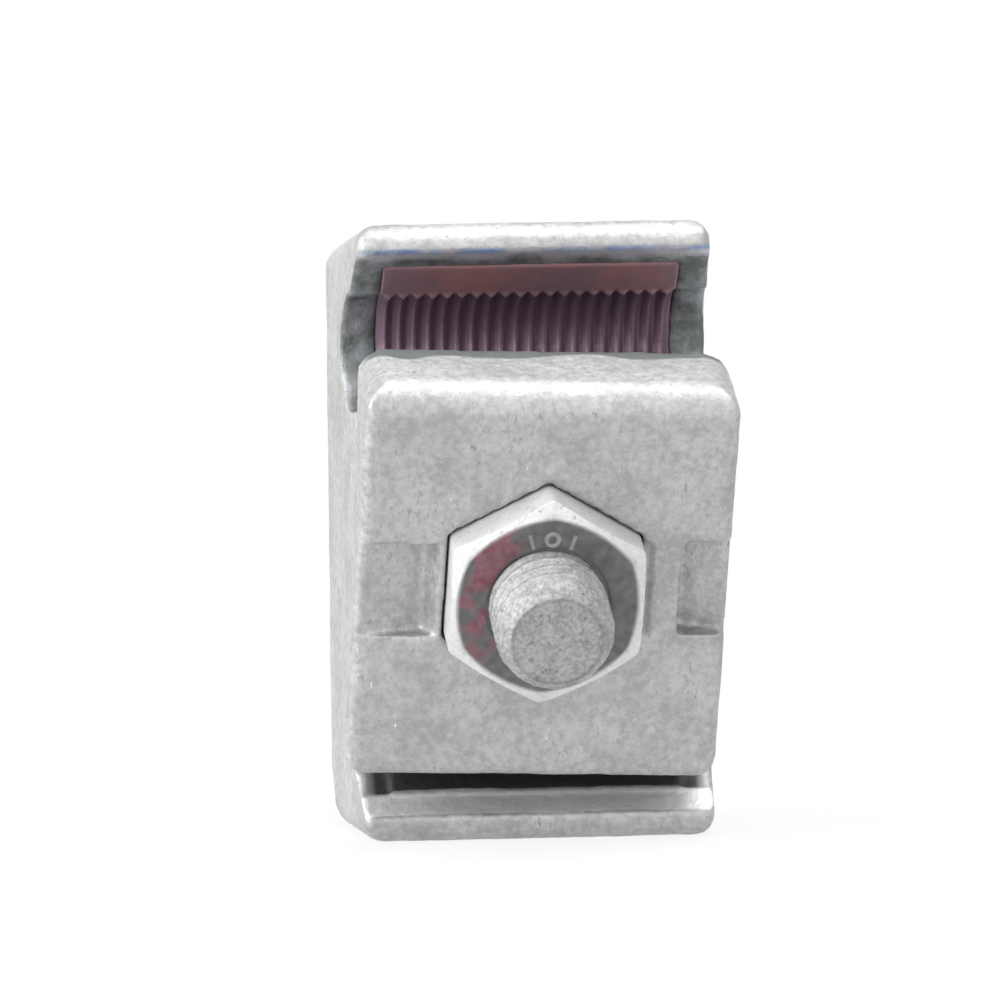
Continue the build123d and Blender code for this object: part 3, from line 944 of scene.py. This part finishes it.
@dataclass
class ClampHardware:
    """The bolt, nut and washers, all on one line."""

    line: ScrewLine
    bolt_finish: HotDipGalvanised
    nut_finish: HotDipGalvanised
    thread: CoarseThread
    hexagon: Hexagon
    steps: int = 240
    nut_steps: int = 540
    row: float = 0.09
    head_height: float = 5.3
    thread_length: float = 24.0
    tip_face: float = 6.2
    tip_cone: float = 0.62
    tip_slope: float = 0.35  # how fast the zinc builds up behind the cone
    tip_dull: float = 0.1  # share of the dark film on the cut end
    rim_painted_shade: float = 0.45  # and how much painted shade darkens the end's rim
    rim_width: float = 0.16
    thread_gap: float = 0.06
    countersink_diameter: float = 8.45
    film_diameter: float = 12.4
    film_toward_corners: float = 0.3
    film_fade: float = 0.3
    stain_clock: tuple[float, float] = (222.0, 344.0)  # degrees from the top, clockwise
    stain_fade: float = 14.0
    mark: PressedMark = PressedMark()
    mark_from_mouth: float = 0.65
    washer_diameter: float = 16.0
    washer_bore: float = 8.4
    washer_edge: float = 0.35
    split_voxel: float = 0.16
    bolt_lumps: tuple[tuple[float, float], ...] = ((1.6, 0.03), (0.4, 0.04), (0.2, 0.02))
    nut_lumps: tuple[tuple[float, float], ...] = ((1.5, 0.02), (0.4, 0.012))
    washer_lumps: tuple[tuple[float, float], ...] = ((1.6, 0.02), (0.5, 0.01))

    def build(self) -> list[Object]:
        """Make and dress the four pieces.

        Returns:
            Bolt, nut, flat washer and split washer.
        """
        material = self.bolt_finish.material()
        return [
            self.bolt(material),
            self.nut(self.nut_finish.material()),
            self.flat_washer(material),
            self.split_washer(material),
        ]

    def bolt(self, material: Material) -> Object:
        """Make the hexagon bolt with its thread.

        Args:
            material: Its finish.

        Returns:
            The bolt.
        """
        low, high = self.line.reach("hex_bolt")
        seat = low + self.head_height
        turn = np.arange(self.steps) / self.steps
        whole = np.ones(self.steps)
        circle = self.hexagon.face_diameter / 2
        shank = self.thread.major_diameter / 2
        rings = [(whole * circle * share, whole * low) for share in (0.3, 0.6, 0.85, 0.97, 1.0)]
        for share in (0.06, 0.3, 0.6, 0.9, 0.97, 1.0):
            radius, depth = self.hexagon.cone(turn, share)
            rings.append((radius, low + depth))
        edge = self.hexagon.radius(turn)
        side_top = rings[-1][1]
        for share in (0.05, 0.3, 0.6, 0.9, 0.98, 1.0):
            rings.append((edge, side_top + (seat - side_top) * share))
        for share in (0.03, 0.3, 0.6, 0.9, 1.0):
            rings.append((edge + (shank - edge) * share, whole * seat))
        thread_start = high - self.thread_length
        plain = np.linspace(seat + self.row, thread_start, 12)
        rings += [(whole * shank, whole * s) for s in plain]
        for s in np.arange(thread_start + self.row, high, self.row):
            along = whole * s
            run_in = np.clip((s - thread_start) / self.thread.pitch, 0.0, 1.0)
            cut = shank - (shank - self.thread.radius(turn, along)) * run_in
            rings.append((np.minimum(cut, self.tip_radius(high - s)), along))
        face = self.tip_face / 2
        rings += [(whole * r, whole * high) for r in np.linspace(face, 0.15, 24)]
        mesh = ring_mesh("hex_bolt", rings, closed=False)
        roughen(mesh, self.bolt_lumps, offset=3.0)
        points = points_of(mesh)
        near_tip = points[:, 2] > high - 0.2
        off_rim = np.abs(np.hypot(points[:, 0], points[:, 1]) - face + 0.06)
        rim = np.clip(1 - off_rim / self.rim_width, 0.0, 1.0)
        # the cut end's dark film, and a painted shade line along the end's rim
        set_values(mesh, "film_and_painted_shade", near_tip * (self.tip_dull + self.rim_painted_shade * rim))
        set_values(mesh, "stain", np.zeros(len(mesh.vertices)))
        place = self.line.placement()
        return place_piece("hex_bolt", mesh, "bolt", material, place)

    def tip_radius(self, back: float) -> float:
        """Give the bolt's radius near its tip: a short cone, then zinc that builds up slowly.

        Args:
            back: Distance behind the end face, in millimetres.

        Returns:
            Largest radius there, in millimetres.
        """
        beyond = max(back - self.tip_cone, 0.0)
        return self.tip_face / 2 + min(back, self.tip_cone) + beyond * self.tip_slope

    def nut(self, material: Material) -> Object:
        """Make the nut, whose thread runs in step with the bolt's.

        Args:
            material: Its finish.

        Returns:
            The nut.
        """
        back, front = self.line.reach("hex_nut")
        turn = np.arange(self.nut_steps) / self.nut_steps
        whole = np.ones(self.nut_steps)
        mouth = self.countersink_diameter / 2
        circle = self.hexagon.face_diameter / 2
        rings = []
        for s in np.linspace(back, front, int((front - back) / self.row)):
            along = whole * s
            flare = mouth - min(s - back, front - s)
            bore = self.thread.radius(turn - JAW_TWIST / 360, along) + self.thread_gap
            rings.append((np.maximum(bore, flare), along))
        face_rows = np.linspace(mouth, circle, 24)[1:]
        rings += [(whole * r, whole * front) for r in face_rows]
        for share in (0.05, 0.2, 0.5, 0.8, 0.95, 1.0):
            radius, depth = self.hexagon.cone(turn, share)
            rings.append((radius, front - depth))
        edge = self.hexagon.radius(turn)
        drop = front - rings[-1][1]
        for share in (0.02, 0.2, 0.5, 0.8, 0.98):
            rings.append((edge, front - drop + (back - front + 2 * drop) * share))
        for share in (1.0, 0.95, 0.5, 0.05):
            radius, depth = self.hexagon.cone(turn, share)
            rings.append((radius, back + depth))
        rings += [(whole * r, whole * back) for r in np.linspace(circle, mouth, 6)[:-1]]
        mesh = ring_mesh("hex_nut", rings, closed=True)
        self.stamp(mesh, front, mouth)
        roughen(mesh, self.nut_lumps, offset=7.0)
        place = self.line.placement(JAW_TWIST)
        return place_piece("hex_nut", mesh, "front_jaw", material, place)

    def stamp(self, mesh: Mesh, front: float, mouth: float) -> None:
        """Press the mark into the nut's face, and lay the dark film and its stain on the face.

        Args:
            mesh: The nut's mesh, in millimetres.
            front: Height of the face.
            mouth: Radius where the face begins.
        """
        points = points_of(mesh)
        radius = np.hypot(points[:, 0], points[:, 1])
        on_face = np.abs(points[:, 2] - front) < 1e-4
        middle = mouth + self.mark_from_mouth
        angle = np.arctan2(points[:, 0], points[:, 1])
        pressed = self.mark.share(angle * middle, radius - middle) * on_face
        points[:, 2] -= pressed * self.mark.depth
        mesh.vertices.foreach_set("co", points.ravel())
        inner = np.clip((radius - mouth + self.film_fade) / self.film_fade, 0.0, 1.0)
        turn = np.arctan2(points[:, 1], points[:, 0]) / (2 * math.pi)
        toward_corner = self.hexagon.radius(turn) - self.hexagon.across_flats / 2
        limit = self.film_diameter / 2 - 0.1 + self.film_toward_corners * toward_corner
        outer = np.clip((limit - radius) / self.film_fade + 0.5, 0.0, 1.0)
        near = np.clip((points[:, 2] - front + 0.9) / 0.5, 0.0, 1.0)
        film_and_painted_shade = inner * outer * near * (0.92 + 0.08 * field(points, 0.5))
        film_and_painted_shade -= pressed * self.mark.paler
        set_values(mesh, "film_and_painted_shade", np.clip(film_and_painted_shade, 0.0, 1.0))
        clock = np.degrees(angle) % 360
        start, end = self.stain_clock
        left = np.clip((clock - start) / self.stain_fade, 0.0, 1.0)
        left *= np.clip((end - clock) / self.stain_fade, 0.0, 1.0)
        patchy = np.clip(0.5 + 1.9 * field(points, 1.0, 2.0), 0.0, 1.0)
        set_values(mesh, "stain", left * patchy)

    def flat_washer(self, material: Material) -> Object:
        """Make the flat washer, its edges rounded by stamping and zinc.

        Args:
            material: Its finish.

        Returns:
            The washer.
        """
        back, front = self.line.reach("flat_washer")
        bore, rim, edge = self.washer_bore / 2, self.washer_diameter / 2, self.washer_edge
        corners = ((rim, front, 0), (bore, front, 90), (bore, back, 180), (rim, back, 270))
        whole = np.ones(self.steps)
        rings = []
        for r, s, start in corners:
            inward = edge if r == bore else -edge
            level = edge if s == back else -edge
            for share in np.linspace(0, 1, 5):
                bend = math.radians(start + 90 * share)
                out = r + inward + edge * math.cos(bend)
                rings.append((whole * out, whole * (s + level + edge * math.sin(bend))))
        mesh = ring_mesh("flat_washer", rings, closed=True)
        roughen(mesh, self.washer_lumps, offset=11.0)
        place = self.line.placement()
        return place_piece("flat_washer", mesh, "washers", material, place)

    def split_washer(self, material: Material) -> Object:
        """Make the split washer from its CAD form.

        Args:
            material: Its finish.

        Returns:
            The washer.
        """
        mesh = softened("spring_washer", self.split_voxel, passes=2)
        roughen(mesh, self.washer_lumps, offset=13.0)
        return place_piece("spring_washer", mesh, "washers", material)


@dataclass(frozen=True)
class Lamp:
    """A square lamp: what it is for, where it hangs and its side in metres, and its watts."""

    kind: Light
    place: tuple[float, float, float]
    size: float
    power: float


@dataclass
class Studio:
    """Pale floor, white surroundings and soft lamps."""

    floor_half: float = 4.0
    floor_colour: str = "#F2F2F2"
    shadow_share: float = 0.16
    shadow_reach: float = 0.12
    air_strength: float = 0.42
    lamps: tuple[Lamp, ...] = (
        Lamp(Light.KEY, (-0.74, -0.16, 0.22), 0.8, 10.2),
        Lamp(Light.TOP, (0.06, -0.1, 0.76), 0.6, 4.7),
        Lamp(Light.FRONT, (0.26, -0.8, 0.2), 0.6, 1.3),
    )

    def build(self) -> None:
        """Make the floor, the surroundings and the lamps, shown without a film curve."""
        bpy.context.scene.view_settings.view_transform = "Standard"
        self.floor()
        self.surroundings()
        for lamp in self.lamps:
            self.hang(lamp)

    def seen(self, tree: NodeTree) -> Source:
        """Tell the rays that should meet plain white from those that carry light.

        Args:
            tree: Node tree of the floor or the world.

        Returns:
            Source that is 1 for camera, glossy and transmission rays.
        """
        rays = add_node(tree, "ShaderNodeLightPath").outputs
        total = rays["Is Camera Ray"]
        for name in ("Is Glossy Ray", "Is Transmission Ray"):
            total = add_node(tree, "ShaderNodeMath", {0: total, 1: rays[name]}, operation="MAXIMUM")
        return total

    def floor(self) -> None:
        """Make the floor, which keeps a light shadow of the object."""
        mesh = bpy.data.meshes.new("floor")
        half = self.floor_half
        corners = [(-half, -half, 0.0), (half, -half, 0.0), (half, half, 0.0), (-half, half, 0.0)]
        mesh.from_pydata(corners, [], [(0, 1, 2, 3)])
        material, tree = new_material("matt_white_floor")
        paper = add_node(tree, "ShaderNodeBsdfDiffuse", {"Color": linear(self.floor_colour)})
        white = add_node(tree, "ShaderNodeEmission", {"Color": linear("#FFFFFF"), "Strength": 1.0})
        place = add_node(tree, "ShaderNodeTexCoord").outputs["Object"]
        away = add_node(tree, "ShaderNodeVectorMath", {0: place}, operation="LENGTH")
        bright = add_node(
            tree,
            "ShaderNodeMapRange",
            {
                "Value": away.outputs["Value"],
                "From Min": self.shadow_reach / 2,
                "From Max": self.shadow_reach,
                "To Min": 1 - self.shadow_share,
                "To Max": 1.0,
            },
        )
        seen = self.seen(tree)
        share = add_node(tree, "ShaderNodeMath", {0: seen, 1: bright}, operation="MULTIPLY")
        mix = add_node(tree, "ShaderNodeMixShader", {0: share, 1: paper, 2: white})
        add_node(tree, "ShaderNodeOutputMaterial", {"Surface": mix})
        mesh.materials.append(material)
        floor = bpy.data.objects.new("floor", mesh)
        bpy.context.scene.collection.objects.link(floor)

    def surroundings(self) -> None:
        """Make the air white to the eye and softer as a light."""
        world = bpy.data.worlds.new("white_air")
        world.use_nodes = True
        tree = world.node_tree
        tree.nodes.clear()
        soft, white = (
            add_node(tree, "ShaderNodeBackground", {"Color": linear("#FFFFFF"), "Strength": power})
            for power in (self.air_strength, 1.0)
        )
        mix = add_node(tree, "ShaderNodeMixShader", {0: self.seen(tree), 1: soft, 2: white})
        add_node(tree, "ShaderNodeOutputWorld", {"Surface": mix})
        bpy.context.scene.world = world

    def hang(self, lamp: Lamp) -> None:
        """Hang a lamp so that it faces the object.

        Args:
            lamp: The lamp.
        """
        light = bpy.data.lights.new(lamp.kind.value, "AREA")
        light.size, light.energy = lamp.size, lamp.power
        holder = bpy.data.objects.new(lamp.kind.value, light)
        holder.location = lamp.place
        middle = (Vector(CAD_BOX[0]) + Vector(CAD_BOX[1])) / 2
        holder.rotation_euler = (middle - holder.location).to_track_quat("-Z", "Y").to_euler()
        bpy.context.scene.collection.objects.link(holder)


@dataclass
class PhotoCamera:
    """Camera at the photograph's angle and distance."""

    target: tuple[float, float, float] = (0.0, -7.5, 21.0)
    target_pixel: tuple[float, float] = (537.5, 533.0)
    azimuth: float = -6.3
    elevation: float = 5.0
    roll: float = 0.6
    distance: float = 800.0
    pixels_per_mm: float = 14.75
    sensor: float = 36.0

    def build(self) -> None:
        """Make the camera and give it to the scene."""
        a, e, r = (math.radians(v) for v in (self.azimuth, self.elevation, self.roll))
        back = Vector((math.sin(a) * math.cos(e), -math.cos(a) * math.cos(e), math.sin(e)))
        level = Vector((0, 0, 1)).cross(back).normalized()
        rise = back.cross(level)
        right = level * math.cos(r) - rise * math.sin(r)
        up = level * math.sin(r) + rise * math.cos(r)
        middle = IMAGE_PIXELS / 2
        slide = right * (middle - self.target_pixel[0]) + up * (self.target_pixel[1] - middle)
        place = Vector(self.target) + back * self.distance + slide / self.pixels_per_mm
        data = bpy.data.cameras.new("photo_camera")
        data.sensor_width = self.sensor
        data.lens = self.pixels_per_mm * self.distance / IMAGE_PIXELS * self.sensor
        data.clip_start, data.clip_end = 0.05, 50.0
        camera = bpy.data.objects.new("photo_camera", data)
        camera.matrix_world = Matrix.Translation(place * MM) @ (
            Matrix((right, up, back)).transposed().to_4x4()
        )
        bpy.context.scene.collection.objects.link(camera)
        bpy.context.scene.camera = camera


def groove_centre(name: str) -> Vector:
    """Read a conductor groove's centre from the record, in millimetres."""
    mount = next(m for m in frame["record"]["mounts"] if m["name"] == name)
    return Vector(mount["pos_m"]) / MM


@dataclass(frozen=True)
class ArmHollow:
    """The round hollow of the front jaw's upper arm, in the turned jaw's own millimetres."""

    span: float = 6.6
    depth: float = 1.7
    above_line: float = 9.7
    plate_thickness: float = 7.1

    def radius(self) -> float:
        """Give the radius of the circle that has this span and depth."""
        return (self.span * self.span / 4 + self.depth * self.depth) / (2 * self.depth)

    def centre(self, line: ScrewLine) -> tuple[float, float]:
        """Find the circle's centre.

        Args:
            line: Line of the bolt, which the hollow faces along.

        Returns:
            How far it is above the line, and how far along it toward the tip.
        """
        back = line.reach("front_jaw")[1] - self.plate_thickness
        return self.above_line, back + self.depth - self.radius()


def main() -> None:
    """Build the clamp, its studio and its camera."""
    logging.basicConfig(level=logging.INFO, format="%(name)s: %(message)s")
    line = ScrewLine.from_joint("bolt_turn")
    hollow = ArmHollow()
    upper = groove_centre("upper_groove")
    back_edge = line.origin.dot(line.tipward) / MM + line.reach("front_jaw")[0]
    lower = groove_centre("lower_groove")
    painted_shade_finish = PaintedShadeAluminium(groove=(upper.y, upper.z), lower_height=lower.z)
    top_shade_finish = TopShadeAluminium(tipward=tuple(line.tipward), border=back_edge + 1.6)
    parts = [
        Casting("rear_jaw", "rear_jaw", painted_shade_finish, voxel=0.26, offset=0.0),
        Casting("front_jaw", "front_jaw", top_shade_finish, voxel=0.2, offset=5.0),
        CopperLining(
            "rear_copper_liner",
            "rear_jaw",
            OxidisedCopper(),
            centre=(upper.y, upper.z),
            wall_radius=GROOVE_RADIUS,
            smooth_above=upper.z + 3.85,
        ),
        CopperLining(
            "front_copper_liner",
            "front_jaw",
            OxidisedCopper(),
            centre=hollow.centre(line),
            wall_radius=hollow.radius(),
            axes=line.placement(JAW_TWIST),
        ),
        ClampHardware(line, HotDipGalvanised(), SpunGalvanised(), CoarseThread(), Hexagon()),
    ]
    for part in parts:
        for piece in part.build():
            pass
    Studio().build()
    PhotoCamera().build()


if __name__ == "__main__":
    main()
